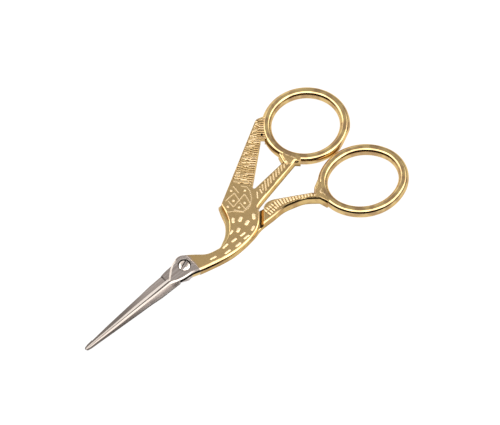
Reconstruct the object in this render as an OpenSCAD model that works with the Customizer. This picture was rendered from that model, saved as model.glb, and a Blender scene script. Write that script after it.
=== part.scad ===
// Stork embroidery scissors: two forged halves that swing on one slotted screw.
// The screw's axis is the Z axis, the blades point to -X and the rings lie at +X.
// The lower half rests on Z = 0, and the halves meet on one flat plane halfway up.

/* [Overall] */
// From the screw to the blade tips
blade_reach = 40.6; // [32:0.1:50]
// From the screw to the middle of both rings, along the scissors
ring_reach = 59.6; // [49:0.1:74]
// Thickness of both halves laid together
stack_t = 3.6; // [3:0.1:4.6]
// Sideways place where the two rings meet
rings_meet_y = -1.25; // [-2.5:0.05:0]

/* [Blades] */
// From the middle of a blade to its back, at the root
blade_back_w = 2.95; // [2.4:0.05:3.4]
// From the middle of a blade to its edge: how far the edges pass each other
edge_pass = 0.6; // [0.4:0.05:0.8]
// Half the width of the blunt tip
tip_r = 0.75; // [0.5:0.05:1]
// Thickness of one blade at the tip
tip_t = 0.8; // [0.5:0.05:1.3]
// Thickness of the cutting edge left by grinding
edge_t = 0.15; // [0.05:0.05:0.3]
// From the screw to where the ground blade starts
grind_x = 7.3; // [6:0.1:9]
// Angle by which the blades lean towards the lower ring
blade_lean = 1.2; // [0:0.1:3]
// Sideways offset of the blades' middle line at the screw
blade_offset = 0.26; // [0:0.02:0.5]

/* [Pivot screw] */
// Radius of the round hub about the screw
hub_r = 3.4; // [3:0.05:4.2]
// Diameter of the screw's head
head_d = 3.6; // [3:0.1:4.3]
// Height of the head's straight rim
head_rim = 0.35; // [0.2:0.05:0.5]
// Diameter of the smooth shoulder that the upper half turns on
shoulder_d = 2.5; // [2:0.1:2.9]
// Diameter of the threaded end in the lower half
thread_d = 1.9; // [1.4:0.1:2.3]
// Width of the screwdriver slot
slot_w = 0.8; // [0.5:0.05:1]
// Depth of the screwdriver slot
slot_depth = 0.5; // [0.3:0.05:0.6]
// Angle of the slot when the screw is tight
slot_turn = 32; // [0:1:180]

/* [Neck and body] */
// From the screw to the hollow of the neck
neck_x = 11.5; // [9:0.1:12.5]
// How far the neck's hollow lies below the screw
neck_drop = 2.75; // [2:0.05:3.4]
// Width of the neck at its hollow
neck_w = 3.75; // [3:0.05:4.6]
// From the screw to the lowest place of the breast
breast_x = 16.6; // [14.5:0.1:18]
// How far the breast lies below the screw
breast_drop = 6.8; // [6.5:0.05:7.8]
// From the screw to the front corner of the wing
wing_x = 22.2; // [21:0.1:24]
// Height of that corner above the screw
wing_y = 8.1; // [7:0.1:9.5]
// From the screw to the rear corner of the body, above the gap
rump_x = 29.7; // [28.5:0.1:31]
// Sideways place of that rear corner
rump_y = -0.25; // [-0.6:0.05:0.1]
// How far the lower half's body shows in front of the upper one
body_show = 1.25; // [0.8:0.05:1.6]
// Radius about the screw to which the lower half's body reaches
under_r = 27.4; // [25.5:0.1:28]

/* [Tail and leg] */
// From the screw to the narrow corner of the window between tail and leg
window_x = 33.4; // [32:0.1:35]
// Sideways place of that corner
window_y = 5.9; // [5.4:0.1:6.6]
// Radius of that corner
window_r = 0.55; // [0.3:0.05:0.8]
// Width of the leg at its foot, by the ring
leg_w = 2.7; // [2:0.05:3.2]
// How far the tail's blunt end stands out from the ring
tail_out = 1.9; // [1.2:0.1:2.6]

/* [Shank] */
// Gap between the upper half's body and the step of the lower half's shank
step_gap = 1.5; // [0.8:0.05:1.8]
// Width of the shank beside the step
shank_w = 4.3; // [3.4:0.05:4.8]
// Width of the shank where it meets its ring
shank_end_w = 2.8; // [2.2:0.05:3.4]

/* [Rings] */
// Length of the thumb ring's hole
thumb_hole_l = 20.7; // [17:0.1:25]
// Width of the thumb ring's hole
thumb_hole_w = 19.6; // [16:0.1:23.6]
// Angle of the thumb ring's long way
thumb_turn = -15; // [-40:1:0]
// Length of the finger ring's hole
finger_hole_l = 21.5; // [18:0.1:26]
// Width of the finger ring's hole
finger_hole_w = 18.1; // [15:0.1:21.8]
// Angle of the finger ring's long way
finger_turn = -23; // [-40:1:0]
// Width of a ring's band, seen from above
band_w = 3.1; // [2.6:0.05:3.8]
// Width of the flat left on the top and bottom of a ring's band
band_flat = 0.9; // [0.6:0.05:1.5]
// Height of the flat left on the sides of a ring's band
band_side = 1; // [0.6:0.05:1.5]
// Depth of the small flat dressed on the outside of the thumb ring
dress_depth = 0.7; // [0.1:0.05:0.9]
// Direction of that flat from the middle of the thumb ring
dress_turn = -66; // [-72:1:-60]

/* [Fits] */
// Gap between the halves on their meeting plane
face_gap = 0.04; // [0.02:0.01:0.1]
// Radial clearance between the shoulder and the upper half
turn_gap = 0.04; // [0.02:0.01:0.08]
// Radial clearance between the thread and the lower half
thread_gap = 0.02; // [0.01:0.01:0.05]
// Clearance round the head in its countersink
head_gap = 0.12; // [0.05:0.01:0.25]
// Gap between the two rings when the blades are shut
ring_gap = 0.2; // [0.1:0.05:0.5]
// Clearance between parts of one half that swing past the other
swing_gap = 0.5; // [0.3:0.05:0.9]
// Gap left where a handle meets its ring
seam_gap = 0.02; // [0.01:0.01:0.05]

/* [Hidden] */
$fn = 96;
steel = [0.68, 0.65, 0.64];
gold = [0.84, 0.69, 0.38];
far = 200;
arc_steps = 18;
curve_steps = 5;
corner_steps = 2;

mate_z = stack_t / 2;
half_t = (stack_t - face_gap) / 2;
plating_x = head_d / 2 + head_gap + 0.5;
blade_mid_w = (blade_back_w + tip_r) / 2 + 0.2;
blade_mid_t = 0.4 * half_t + 0.6 * tip_t + 0.2;
blade_mid_ridge = 0.75;
blade_tip_ridge = 0.2;
slice_t = 0.02;
sink_h = mate_z / 4;

thumb_a = (thumb_hole_l + band_w) / 2;
thumb_b = (thumb_hole_w + band_w) / 2;
dress_lift = side_reach(thumb_a, thumb_b, thumb_turn - dress_turn + 90) - thumb_b;
finger_a = (finger_hole_l + band_w) / 2;
finger_b = (finger_hole_w + band_w) / 2;

// How far a turned oval reaches sideways from its middle
function side_reach(a, b, turn) = sqrt(pow(a * sin(turn), 2) + pow(b * cos(turn), 2));

thumb_at = [ring_reach, rings_meet_y + (ring_gap + band_w) / 2 + side_reach(thumb_a, thumb_b, thumb_turn)];
finger_at = [ring_reach, rings_meet_y - (ring_gap + band_w) / 2 - side_reach(finger_a, finger_b, finger_turn)];

// A four-centred oval: end radius, side radius, and the angle where they meet
function end_r(a, b) = b - 0.8 * (a - b);
function side_r(a, b) = (pow(a - end_r(a, b), 2) + b * b - pow(end_r(a, b), 2)) / (2 * (b - end_r(a, b)));
function meet_angle(a, b) = atan2(side_r(a, b) - b, a - end_r(a, b));

function spin2(p, turn) = [p.x * cos(turn) - p.y * sin(turn), p.x * sin(turn) + p.y * cos(turn)];
function polar(r, angle) = [r * cos(angle), r * sin(angle)];
function blend(p, q, t) = p + (q - p) * t;

// Outline of an oval, grown outwards, with its four arcs stepped evenly
function oval_points(a, b, grow, steps) =
    let (e = end_r(a, b), s = side_r(a, b), m = meet_angle(a, b),
         arcs = [[a - e, 0, e, -m, m], [0, b - s, s, m, 180 - m],
                 [e - a, 0, e, 180 - m, 180 + m], [0, s - b, s, 180 + m, 360 - m]])
    [for (arc = arcs, i = [0 : steps - 1])
        [arc[0], arc[1]] + polar(arc[2] + grow, arc[3] + (arc[4] - arc[3]) * i / steps)];

// A point on or near a ring's outer edge, in a direction from the ring's middle
function ring_edge(at, a, b, turn, angle, out) =
    let (t = angle - turn, r = a * b / sqrt(pow(b * cos(t), 2) + pow(a * sin(t), 2)))
    at + polar(r + band_w / 2 + out, angle);

function thumb_edge(angle, out) = ring_edge(thumb_at, thumb_a, thumb_b, thumb_turn, angle, out);
function finger_edge(angle, out) = ring_edge(finger_at, finger_a, finger_b, finger_turn, angle, out);

// A smooth curve through hand-placed points, which leaves out the last point
function curve(p) =
    [for (i = [0 : len(p) - 2], k = [0 : curve_steps - 1])
        let (t = k / curve_steps, p0 = p[max(i - 1, 0)], p1 = p[i], p2 = p[i + 1],
             p3 = p[min(i + 2, len(p) - 1)])
        0.5 * (2 * p1 + (p2 - p0) * t + (2 * p0 - 5 * p1 + 4 * p2 - p3) * t * t
               + (3 * p1 - p0 - 3 * p2 + p3) * t * t * t)];

// Places on the outline that both halves share
hub_top = polar(hub_r, 58);
hub_low = polar(hub_r + 0.1, -90);
neck_top = [neck_x, -neck_drop];
neck_low = [neck_x, -neck_drop - neck_w];
breast = [breast_x, -breast_drop];
belly = [22, 0.7 - breast_drop];
rump = [rump_x, rump_y];
wing_corner = [wing_x, wing_y];
throat = [4.2, -4.85];
nape = [[7.6, -1.75], [4.3, 0.9]];
front = [[21.6, 5.9], [20.2, 2.5], [17.5, -0.55], [14.6, -2.2]];

// Places where the leg, the tail and the shank reach their rings
leg_foot = thumb_edge(214, 0.2);
leg_top = leg_foot + polar(leg_w, 103) - polar(2.4, 13);
tail_tip = thumb_edge(135, tail_out);
tail_root = thumb_edge(160, 1.2);
shank_top = finger_edge(156, 1.7);
shank_low = shank_top + polar(shank_end_w, -92);

// The gap between the body's rear edge and the step of the shank
rear = [26, -4.3];
step_line = (rump - rear) / norm(rump - rear);
step_off = step_gap * [step_line.y, -step_line.x];
step_top = rump + step_off + 0.2 * step_line;
step_low = step_top - 5.6 * step_line;
shank_root = step_top + polar(shank_w, -91);

module upper_outline() {
    polygon(concat(
        curve([hub_low, throat, neck_low, breast, belly, rear, rump]),
        curve([rump, rump + [1.4, 0.95], leg_foot]),
        [leg_foot, thumb_edge(221, 0), thumb_at, thumb_edge(127, 0), thumb_edge(131, tail_out - 0.5)],
        curve([tail_tip, blend(tail_tip, wing_corner, 0.5), wing_corner]),
        curve(concat([wing_corner], front, [neck_top])),
        curve(concat([neck_top], nape, [hub_top])),
        [hub_top]));
}

// The window between the tail, the leg and the thumb ring
module window_outline() {
    hull() {
        translate([window_x, window_y]) circle(window_r);
        polygon([leg_top, thumb_edge(190, 0), thumb_edge(175, -0.5), thumb_edge(163, -0.5), tail_root]);
    }
}

// The lower half follows the upper one, but its body shows a little in front
module lower_outline() {
    show = polar(body_show, 150);
    corner = wing_corner + [-0.8, 0.4];
    floor_angle = asin(rump_y / under_r);
    corner_angle = atan2(corner.y, corner.x) - 3;
    polygon(concat(
        curve([hub_low, throat, neck_low, breast, belly + [0.3, -0.15], [26.3, -5.4], shank_root, [35.2, -5.4], [38.8, -6.3], [42, -7.55], shank_low]),
        [shank_low, finger_edge(176, 0), finger_at, finger_edge(139, 0), finger_edge(149, 1.1)],
        curve([shank_top, [40.25, -4.4], [36.6, -2.25], [34.3, -0.95], [32.4, -0.65], step_top]),
        [for (i = [0 : arc_steps]) polar(under_r, blend(floor_angle, corner_angle, i / arc_steps))],
        curve(concat([corner], [for (p = front) p + show], [neck_top + [0, 0.1]])),
        curve(concat([neck_top - [0, 0.05]], nape, [hub_top])),
        [hub_top]));
}

// Solid from Z = 0 to the full thickness, cut to the steel or the gilt end
module gilt_slab() {
    intersection() {
        linear_extrude(stack_t) children();
        translate([plating_x, -far / 2, -1]) cube([far, far, stack_t + 2]);
    }
}

module steel_slab() {
    intersection() {
        linear_extrude(stack_t) children();
        translate([plating_x - far, -far / 2, -1]) cube([far, far, stack_t + 2]);
    }
}

// One slice of a blade: mating face down, cutting edge at +Y, back at -Y
module blade_slice(x, back, edge, top, ridge) {
    translate([x, 0, 0]) rotate([90, 0, 90]) linear_extrude(slice_t)
        polygon([[-back, 0], [edge, 0], [edge, edge_t], [-ridge, top],
                 [-ridge - 0.25 * (back - ridge), 0.93 * top], [-back, 0.3 * top]]);
}

// Slices at the hub, at the start of the grinding, halfway and at the tip
module hub_slice() { blade_slice(3.2 - grind_x, blade_back_w + 0.1, edge_pass, half_t, 0.4 * blade_back_w); }
module root_slice() { blade_slice(-grind_x, blade_back_w, edge_pass, half_t, 0.4 * blade_back_w); }
module mid_slice() { blade_slice(-blade_reach / 2, blade_mid_w, edge_pass, blade_mid_t, blade_mid_ridge); }
module tip_slice() { blade_slice(tip_r - blade_reach, tip_r, edge_pass, tip_t, blade_tip_ridge); }
module end_slice() { blade_slice(-blade_reach, 0.45 * tip_r, 0.4 * tip_r, 0.6 * tip_t, blade_tip_ridge / 2); }

module blade_form() {
    hull() { hub_slice(); root_slice(); }
    hull() { root_slice(); mid_slice(); }
    hull() { mid_slice(); tip_slice(); }
    hull() { tip_slice(); end_slice(); }
}

// Shoulder between the hub and the ground blade, in the blade's own frame
module shoulder_outline() {
    polygon(concat(
        [[0.4 - grind_x, -blade_back_w], [-3.2, -blade_back_w - 0.45], [0, -hub_r], [0, hub_r]],
        curve([polar(hub_r, 108), [-2.9, 2.75], [-4.6, 1.75], [-6, 0.5], [0.2 - grind_x, edge_pass - 1.1]])));
}

module on_blade_line() {
    translate([0, -blade_offset, 0]) rotate(blade_lean) children();
}

// Hub, shoulder and blade above the mating plane, which is Z = 0 here
module half_blade() {
    on_blade_line() {
        blade_form();
        linear_extrude(half_t) shoulder_outline();
    }
    cylinder(r = hub_r, h = half_t);
}

module upper_blade() {
    color(steel) difference() {
        intersection() {
            union() {
                translate([0, 0, stack_t - half_t]) half_blade();
                difference() {
                    steel_slab() upper_outline();
                    translate([-far / 2, -far / 2, -1]) cube([far, far, stack_t - half_t + 1]);
                }
            }
            translate([plating_x - far, -far / 2, -1]) cube([far, far, stack_t + 2]);
        }
        translate([0, 0, -1]) cylinder(d = shoulder_d + 2 * turn_gap, h = stack_t + 2);
        translate([0, 0, stack_t - head_rim - head_gap / 2]) cylinder(d = head_d + 2 * head_gap, h = stack_t);
        translate([0, 0, stack_t - head_rim - sink_h - head_gap])
            cylinder(d1 = shoulder_d + 2 * turn_gap, d2 = head_d + 2 * head_gap, h = sink_h + head_gap / 2);
    }
}

// The lower blade is the upper one turned over about the blades' middle line
module lower_blade() {
    color(steel) difference() {
        intersection() {
            union() {
                on_blade_line() translate([0, 0, half_t]) rotate([180, 0, 0]) {
                    blade_form();
                    linear_extrude(half_t) shoulder_outline();
                }
                cylinder(r = hub_r, h = half_t);
                difference() {
                    steel_slab() lower_outline();
                    translate([-far / 2, -far / 2, half_t]) cube([far, far, stack_t]);
                }
            }
            translate([plating_x - far, -far / 2, -1]) cube([far, far, stack_t + 2]);
        }
        translate([0, 0, -1]) cylinder(d = thread_d + 2 * thread_gap, h = stack_t + 2);
    }
}

module upper_handle() {
    color(gold) difference() {
        gilt_slab() difference() {
            upper_outline();
            window_outline();
            translate(thumb_at) rotate(thumb_turn)
                polygon(oval_points(thumb_a, thumb_b, band_w / 2 + seam_gap, arc_steps));
        }
        translate([0, 0, -1]) cylinder(r = under_r + swing_gap, h = stack_t - half_t + 1);
        translate([0, -far, -1]) cube([far, far + rump_y + swing_gap / 2, stack_t - half_t + 1]);
    }
}

module lower_handle() {
    color(gold) difference() {
        gilt_slab() difference() {
            lower_outline();
            translate(finger_at) rotate(finger_turn)
                polygon(oval_points(finger_a, finger_b, band_w / 2 + seam_gap, arc_steps));
        }
        translate([0, 0, half_t]) linear_extrude(stack_t)
            polygon([step_top + 8 * step_line, step_low - 8 * step_line, [-1, -far], [-1, far], [rump_x, far]]);
    }
}

// The band's section, with rounded corners, as places out from its middle and up
function band_section() =
    let (out = (band_w - band_flat) / 2, up = (stack_t - band_side) / 2)
    [for (q = [0 : 3], k = [0 : corner_steps])
        let (c = polar(1, 90 * (q + k / corner_steps)))
        [c.x * out + (q == 0 || q == 3 ? 1 : -1) * band_flat / 2,
         c.y * up + (q < 2 ? 1 : -1) * band_side / 2 + stack_t / 2]];

// One closed band swept round an oval: each step is a copy of the section
module oval_ring(a, b) {
    section = band_section();
    n = len(section);
    inner = oval_points(a, b, 0, arc_steps);
    outer = oval_points(a, b, 1, arc_steps);
    steps = len(inner);
    points = [for (i = [0 : steps - 1], s = section)
        let (p = inner[i] + (outer[i] - inner[i]) * s.x) [p.x, p.y, s.y]];
    faces = [for (i = [0 : steps - 1], k = [0 : n - 1])
        let (j = (i + 1) % steps, m = (k + 1) % n)
        each [[i * n + k, i * n + m, j * n + m], [i * n + k, j * n + m, j * n + k]]];
    polyhedron(points, faces, convexity = 4);
}

module thumb_ring() {
    color(gold) difference() {
        translate(thumb_at) rotate(thumb_turn) oval_ring(thumb_a, thumb_b);
        translate(thumb_at) rotate(dress_turn)
            translate([thumb_b + band_w / 2 + dress_lift - dress_depth, -far / 2, -1]) cube([far, far, stack_t + 2]);
    }
}

module finger_ring() {
    color(gold) translate(finger_at) rotate(finger_turn) oval_ring(finger_a, finger_b);
}

module pivot_screw() {
    color(steel) difference() {
        union() {
            cylinder(d = thread_d, h = mate_z);
            translate([0, 0, half_t]) cylinder(d = shoulder_d, h = mate_z);
            translate([0, 0, stack_t - head_rim - sink_h])
                cylinder(d1 = shoulder_d, d2 = head_d, h = sink_h);
            translate([0, 0, stack_t - head_rim]) cylinder(d = head_d, h = head_rim);
        }
        translate([0, 0, stack_t - slot_depth]) rotate(slot_turn)
            translate([-head_d, -slot_w / 2, 0]) cube([2 * head_d, slot_w, slot_depth + 1]);
    }
}

upper_blade();
upper_handle();
thumb_ring();
lower_blade();
lower_handle();
finger_ring();
pivot_screw();
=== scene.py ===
import math
import bpy
import numpy as np
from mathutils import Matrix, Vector
from mathutils.geometry import delaunay_2d_cdt


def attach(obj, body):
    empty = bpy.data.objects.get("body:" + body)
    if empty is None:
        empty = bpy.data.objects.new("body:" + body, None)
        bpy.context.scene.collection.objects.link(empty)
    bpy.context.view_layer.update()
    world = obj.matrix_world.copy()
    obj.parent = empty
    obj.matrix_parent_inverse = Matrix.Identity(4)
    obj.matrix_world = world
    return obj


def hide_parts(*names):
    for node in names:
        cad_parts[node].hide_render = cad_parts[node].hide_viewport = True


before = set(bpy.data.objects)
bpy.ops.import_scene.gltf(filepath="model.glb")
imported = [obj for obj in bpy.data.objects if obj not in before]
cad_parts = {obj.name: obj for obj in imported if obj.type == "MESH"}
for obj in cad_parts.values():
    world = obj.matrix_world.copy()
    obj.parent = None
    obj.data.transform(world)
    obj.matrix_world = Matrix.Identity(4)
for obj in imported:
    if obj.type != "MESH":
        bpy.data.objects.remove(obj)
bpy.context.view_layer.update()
print("frame loaded")

# Pieces are modelled in millimetres and brought to metres when they are finished

mating = {"upper": 1.82, "lower": 1.78}  # heights of the halves' faces that slide on each other
plating = 2.42  # where steel meets gilding, along x


def deselectAll():
    if bpy.context.object and bpy.context.object.mode != "OBJECT":
        bpy.ops.object.mode_set(mode="OBJECT")
    bpy.ops.object.select_all(action="DESELECT")


def pick(piece):
    deselectAll()
    piece.select_set(True)
    bpy.context.view_layer.objects.active = piece


def nameIt(name):
    piece = bpy.context.object
    piece.name = name
    piece.data.name = name
    return piece


def objectMode():
    bpy.ops.object.mode_set(mode="OBJECT")


def editMode():
    bpy.ops.object.mode_set(mode="EDIT")


# Leaves the piece in edit mode with only the wanted edges or faces selected:
# test(place, place, normals beside it) or test(middle, normal)
def choose(piece, kind, test):
    pick(piece)
    editMode()
    bpy.ops.mesh.select_mode(type=kind)
    bpy.ops.mesh.select_all(action="DESELECT")
    objectMode()
    mesh = piece.data
    found = 0
    if kind == "EDGE":
        around = {}
        for f in mesh.polygons:
            for key in f.edge_keys:
                around.setdefault(key, []).append(f.normal)
        for e in mesh.edges:
            a, b = (mesh.vertices[i].co for i in e.vertices)
            e.select = bool(test(a, b, around.get(e.key, [])))
            found += e.select
    else:
        for f in mesh.polygons:
            f.select = bool(test(f.center, f.normal))
            found += f.select
    editMode()
    return found


def chooseAll(piece):
    pick(piece)
    editMode()
    bpy.ops.mesh.select_all(action="SELECT")


def evenNormals():
    bpy.ops.mesh.select_all(action="SELECT")
    bpy.ops.mesh.normals_make_consistent(inside=False)
    objectMode()


# A bar extruded from station to station, its corners put in place at each
def drawnOut(name, stations):
    deselectAll()
    bpy.ops.mesh.primitive_circle_add(vertices=len(stations[0]), radius=1, fill_type="NGON")
    piece = nameIt(name)
    for v, p in zip(piece.data.vertices, stations[0]):
        v.co = p
    chooseAll(piece)
    for before, after in zip(stations, stations[1:]):
        bpy.ops.mesh.extrude_region_move(TRANSFORM_OT_translate={"value": (0, 0, 0)})
        objectMode()
        for v in piece.data.vertices:
            if v.select:
                k = min(range(len(before)), key=lambda i: (v.co - Vector(before[i])).length)
                v.co = after[k]
        editMode()
    evenNormals()
    return piece


# A slab whose plan is an outline
def slab(name, points, low, high):
    return drawnOut(name, [[(*p, z) for p in points] for z in (low, high)])


def cut(piece, tool):
    pick(piece)
    modifier = piece.modifiers.new("cut", "BOOLEAN")
    modifier.operation, modifier.object, modifier.solver = "DIFFERENCE", tool, "EXACT"
    bpy.ops.object.modifier_apply(modifier="cut")
    bpy.data.objects.remove(tool)


def join(piece, other):
    pick(piece)
    other.select_set(True)
    bpy.ops.object.join()


# An upright round tool, cut from the piece
def drill(piece, name, place, radius, depth, corners):
    deselectAll()
    bpy.ops.mesh.primitive_cylinder_add(vertices=corners, radius=radius, depth=depth,
                                        location=place)
    cut(piece, nameIt(name))


# A square tool, sized and turned about its middle, cut from the piece
def mill(piece, name, place, size, turns):
    deselectAll()
    bpy.ops.mesh.primitive_cube_add(size=1, location=place)
    tool = nameIt(name)
    tool.scale = size
    tool.rotation_euler = [math.radians(turn) for turn in turns]
    cut(piece, tool)


def coat(piece, *materials):
    for m in materials:
        piece.data.materials.append(m)


# A copy of a CAD node in millimetres, its double corners merged and its flat faces made whole
def fromNode(node, name):
    piece = bpy.data.objects.new(name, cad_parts[node].data.copy())
    bpy.context.collection.objects.link(piece)
    piece.data.materials.clear()
    pick(piece)
    bpy.ops.transform.resize(value=(1000, 1000, 1000), center_override=(0, 0, 0))
    bpy.ops.object.transform_apply(location=False, rotation=False, scale=True)
    chooseAll(piece)
    bpy.ops.mesh.remove_doubles(threshold=0.002)
    bpy.ops.mesh.dissolve_limited(angle_limit=math.radians(1))
    objectMode()
    return piece


def chamfer(piece, width, test, segments=1):
    if choose(piece, "EDGE", test):
        bpy.ops.mesh.bevel(offset=width, offset_type="OFFSET", segments=segments, profile=0.5,
                           clamp_overlap=False, affect="EDGES")
    objectMode()


# Chamfers the edges between a flat face at a height and its walls, from one place along the part to
# another. The ends where steel meets gilding stay sharp
def chamferAt(piece, width, height, low, high, segments=1):
    def fits(a, b, normals):
        if len(normals) != 2 or max(abs(a.z - height), abs(b.z - height)) >= 0.01:
            return False
        wall, flat = sorted(abs(n.z) for n in normals)
        near, far = sorted((a.x, b.x))
        atEnd = abs(near - plating) < 0.01 and abs(far - plating) < 0.01
        return flat > 0.95 and wall < 0.3 and low < near and far < high and not atEnd
    chamfer(piece, width, fits, segments)


# Brings a piece to metres, with its own place in its mesh, and hangs it on its body
def finished(piece, body, node, crease=24):
    pick(piece)
    bpy.ops.transform.resize(value=(0.001, 0.001, 0.001), center_override=(0, 0, 0))
    bpy.ops.object.transform_apply(location=True, rotation=True, scale=True)
    bpy.ops.object.shade_smooth_by_angle(angle=math.radians(crease))
    mark = piece.data.attributes.get("relief")
    if mark:  # the raised ornament is soft all over
        height = np.zeros(len(piece.data.vertices))
        mark.data.foreach_get("value", height)
        ends = np.zeros(2 * len(piece.data.edges), int)
        piece.data.edges.foreach_get("vertices", ends)
        sharp = np.zeros(len(piece.data.edges), bool)
        piece.data.edges.foreach_get("use_edge_sharp", sharp)
        raisedEnds = np.abs(height[ends]).reshape(-1, 2).max(axis=1) > 0.01
        piece.data.edges.foreach_set("use_edge_sharp", sharp & ~raisedEnds)
    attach(piece, body)
    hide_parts(node)
    print(piece.name, len(piece.data.polygons), "faces")


# Shapes of raised ornament, worked out over many places at once: 1 on the crest, 0 at the foot


def polar(r, angle):
    return (r * math.cos(math.radians(angle)), r * math.sin(math.radians(angle)))


def crest(d, flank=0.7):
    t = np.clip((1 - d) / flank, 0, 1)
    return t * (2 - t)


def pill(x, y, at, length, width, turn):
    c, s = math.cos(math.radians(turn)), math.sin(math.radians(turn))
    along = (x - at[0]) * c + (y - at[1]) * s
    across = (y - at[1]) * c - (x - at[0]) * s
    past = np.maximum(np.abs(along) - (length - width) / 2, 0)
    return crest(np.hypot(past, across) / (width / 2))


# Raised ornament laid over what is already there
def over(h, more):
    return np.where(more > 0.02, np.maximum(h, more), h)


def strokes(h, x, y, ends, width, high):
    for ax, ay, bx, by in ends:
        length = math.hypot(bx - ax, by - ay) + width
        turn = math.degrees(math.atan2(by - ay, bx - ax))
        h = over(h, high * pill(x, y, ((ax + bx) / 2, (ay + by) / 2), length, width, turn))
    return h


# For each place, how far along a line it lies and how far to its left
def alongLine(x, y, points):
    best, far, side = 1e9 + 0 * x, 0 * x, 0 * x
    run = 0.0
    for a, b in zip(points, points[1:]):
        length = math.hypot(b[0] - a[0], b[1] - a[1])
        ux, uy = (b[0] - a[0]) / length, (b[1] - a[1]) / length
        t = np.clip((x - a[0]) * ux + (y - a[1]) * uy, 0, length)
        dx, dy = x - a[0] - t * ux, y - a[1] - t * uy
        d = np.hypot(dx, dy)
        near = d < best
        best = np.where(near, d, best)
        far = np.where(near, run + t, far)
        side = np.where(near, np.sign(ux * dy - uy * dx) * d, side)
        run += length
    return far, side


# A fixed number between 0 and 1 for each numbered place, so that rows differ a little
def jitter(n, k=0.0):
    return np.abs(np.modf(np.sin(n * 12.9898 + k * 78.233) * 43758.5453)[0])


# Swaps a piece's flat top for a fine one in the same outline, with ground rims and raised ornament.
# rimAt(x, y) gives a rim's width, its drop and its steps (1 is flat, more is rounded), or a width
# of 0 for none. Shape and lift give the ornament's height and the rise into a ring, of 1 at most.
# The rims take the material slot outer and the rest inner
def dressTop(piece, top, step, rimAt, outer, inner, height=0.0, shape=None, lift=None):
    choose(piece, "FACE", lambda c, n: n.z > 0.99 and abs(c.z - top) < 0.02)
    objectMode()
    mesh = piece.data
    used = {}
    for f in mesh.polygons:
        for key in f.edge_keys if f.select else []:
            used[key] = used.get(key, 0) + 1
    edges = [key for key, n in used.items() if n == 1]
    corners = sorted({i for key in edges for i in key})
    number = {i: k for k, i in enumerate(corners)}
    spots = np.array([mesh.vertices[i].co.xy for i in corners])
    border = [(number[i], number[j]) for i, j in edges]
    rims = [(spots[i], spots[j], *rimAt(*((spots[i] + spots[j]) / 2))) for i, j in border]

    def onTop(places):  # whether each place is inside the outline
        x, y = np.array(places).reshape(-1, 2).T
        odd = np.zeros(len(x), bool)
        for a, b, *rest in rims:
            if a[1] != b[1]:
                meets = (b[0] - a[0]) * (y - a[1]) / (b[1] - a[1]) + a[0]
                odd ^= ((a[1] > y) != (b[1] > y)) & (x < meets)
        return odd

    def lay(x, y):  # how far inside the rims each place is, and how far it drops
        inside, drop = np.full(len(x), 1e9), np.zeros(len(x))
        for a, b, width, deep, steps in rims:
            u = b - a
            t = np.clip(((x - a[0]) * u[0] + (y - a[1]) * u[1]) / max(u @ u, 1e-12), 0, 1)
            d = np.hypot(x - a[0] - t * u[0], y - a[1] - t * u[1])
            inside = np.minimum(inside, d - width)
            if width:
                t = np.clip(1 - d / width, 0, 1)
                drop = np.maximum(drop, deep * (t if steps == 1 else 1 - np.sqrt(1 - t * t)))
        return inside, drop

    lines = []  # places along the rims' inner lines, with the drop expected there
    for a, b, width, deep, steps in rims:
        if width:
            long = np.hypot(*(b - a))
            square = np.array((a[1] - b[1], b[0] - a[0])) / max(long, 1e-9)
            square = square if onTop((a + b) / 2 + 0.02 * square)[0] else -square
            count = max(1, round(long / step))
            for k in range(steps):
                turn = (k + 1) / steps * math.pi / 2
                inward = 1 if steps == 1 else 1 - math.cos(turn)
                fall = 0 if steps == 1 else deep * (1 - math.sin(turn))
                for i in range(count):
                    p = a + (b - a) * (i + 0.5) / count + square * width * inward
                    lines.append((*p, fall, deep))
    if lines:
        lines = np.array(lines)
        drop = lay(lines[:, 0], lines[:, 1])[1]
        lines = lines[(drop <= lines[:, 2] + 0.02 * lines[:, 3]) & onTop(lines[:, :2]), :2]
    low, high = spots.min(axis=0), spots.max(axis=0)
    gx, gy = np.meshgrid(np.arange(low[0], high[0], step), np.arange(low[1], high[1], step))
    grid = np.stack((gx.ravel(), gy.ravel()), axis=1)
    grid = grid[onTop(grid) & (lay(*grid.T)[0] > 0.45 * step)]
    places = [Vector(p) for p in (*spots, *lines, *grid)]
    made = delaunay_2d_cdt(places, border, [], 0, 1e-5)
    middles = [sum((made[0][i] for i in f), Vector((0, 0))) / len(f) for f in made[2]]
    kept = [f for f, on in zip(made[2], onTop(middles)) if on]
    x, y = np.array([v.x for v in made[0]]), np.array([v.y for v in made[0]])
    inside, drop = lay(x, y)
    z = top - drop
    if shape:
        z += height * np.minimum(shape(x, y) + lift(x, y), 1) * np.clip(inside / step, 0, 1)
    for i, d in zip(corners, lay(spots[:, 0], spots[:, 1])[1]):
        mesh.vertices[i].co.z = top - d
    editMode()
    bpy.ops.mesh.delete(type="FACE")
    objectMode()
    name = piece.name + "Top"
    cover = bpy.data.objects.new(name, bpy.data.meshes.new(name))
    bpy.context.collection.objects.link(cover)
    cover.data.from_pydata(list(zip(x, y, z)), [], kept)
    coat(cover, *piece.data.materials)
    cover.data.polygons.foreach_set("material_index", [outer] * len(kept))
    join(piece, cover)
    editMode()
    bpy.ops.mesh.select_all(action="SELECT")
    bpy.ops.mesh.remove_doubles(threshold=0.001)
    evenNormals()
    if shape:
        x, y, z = np.array([v.co for v in piece.data.vertices]).T
        within = (z > top - 0.5) & (lay(x, y)[0] > 0.01)
        raised = np.clip((z - top) / height - lift(x, y), -1, 1) * within
        relief = piece.data.attributes.new("relief", "FLOAT", "POINT")
        relief.data.foreach_set("value", raised)
    middles = np.array([f.center for f in piece.data.polygons])
    inside = lay(middles[:, 0], middles[:, 1])[0]
    for f, d in zip(piece.data.polygons, inside):
        if f.normal.z > 0.1 and f.center.z > top - 1 and d > 0:
            f.material_index = inner
    print(piece.name, "top", len(kept), "triangles")


# Materials


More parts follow.
